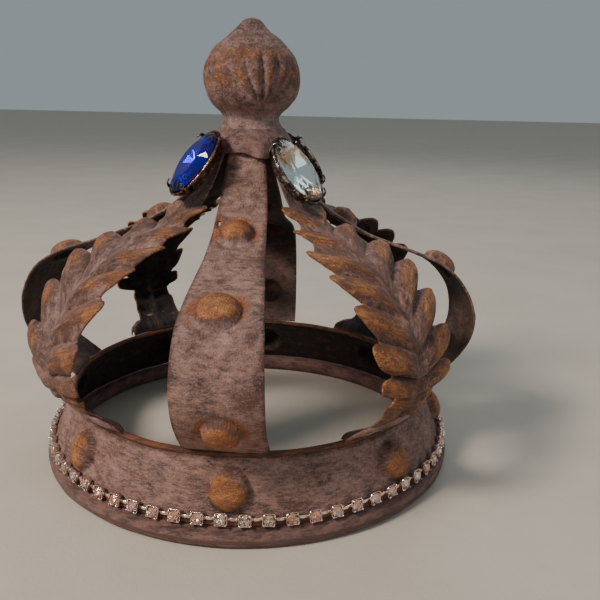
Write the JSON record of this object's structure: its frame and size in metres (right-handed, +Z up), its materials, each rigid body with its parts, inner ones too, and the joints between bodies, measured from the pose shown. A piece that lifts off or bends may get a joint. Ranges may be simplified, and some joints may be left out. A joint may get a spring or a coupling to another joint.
{
  "type": "decorative crown",
  "caption": "Weathered tin crown with a banded rim, plain and leaf-shaped arches, a bud finial, oval glass stones and a chain of small stones.",
  "frame": {"origin": "middle of the flat underside of the bottom rim, which the crown stands on", "axes": "+Z up along the crown's axis to the finial, the front strap on -Y, +X to the right seen from the front"},
  "size_m": [0.1707, 0.1672, 0.159],
  "materials": {
    "grey_tin": "dusty pinkish-grey lime wash over brown tin, mottled and brushed",
    "rusty_tin": "brown oxidised tin with rust flecks and a thin grey wash",
    "gilded_tin": "grey washed tin with copper-gold paint rubbed on the raised parts",
    "silver": "plated cups and links with clear glass stones",
    "bronze_setting": "dark bronze plating with worn bright edges",
    "dark_setting": "gunmetal plating with bright silver edges",
    "blue_glass": "faceted cobalt blue glass, foiled behind",
    "clear_glass": "faceted clear glass, foiled behind",
    "smoke_glass": "faceted smoky green-grey glass",
    "amber_glass": "faceted amber glass",
    "steel": "plain steel, dulled"
  },
  "bodies": {
    "root": {"bottom_rim": "rusty_tin", "circlet_band": "grey_tin", "top_hem": "rusty_tin", "rhinestone_chain": "silver", "front_strap": "grey_tin", "right_strap": "grey_tin", "back_strap": "grey_tin", "left_strap": "grey_tin", "front_left_leaf": "gilded_tin", "front_right_leaf": "gilded_tin", "back_right_leaf": "gilded_tin", "back_left_leaf": "gilded_tin", "front_left_setting": "bronze_setting", "front_right_setting": "dark_setting", "back_right_setting": "dark_setting", "back_left_setting": "bronze_setting", "front_left_stone": "blue_glass", "front_right_stone": "clear_glass", "back_right_stone": "smoke_glass", "back_left_stone": "amber_glass", "finial_bud": "gilded_tin", "finial_skirt": "rusty_tin", "hub_plate": "rusty_tin", "finial_screw": "steel", "neck_plug": "steel"}
  },
  "joints": []
}
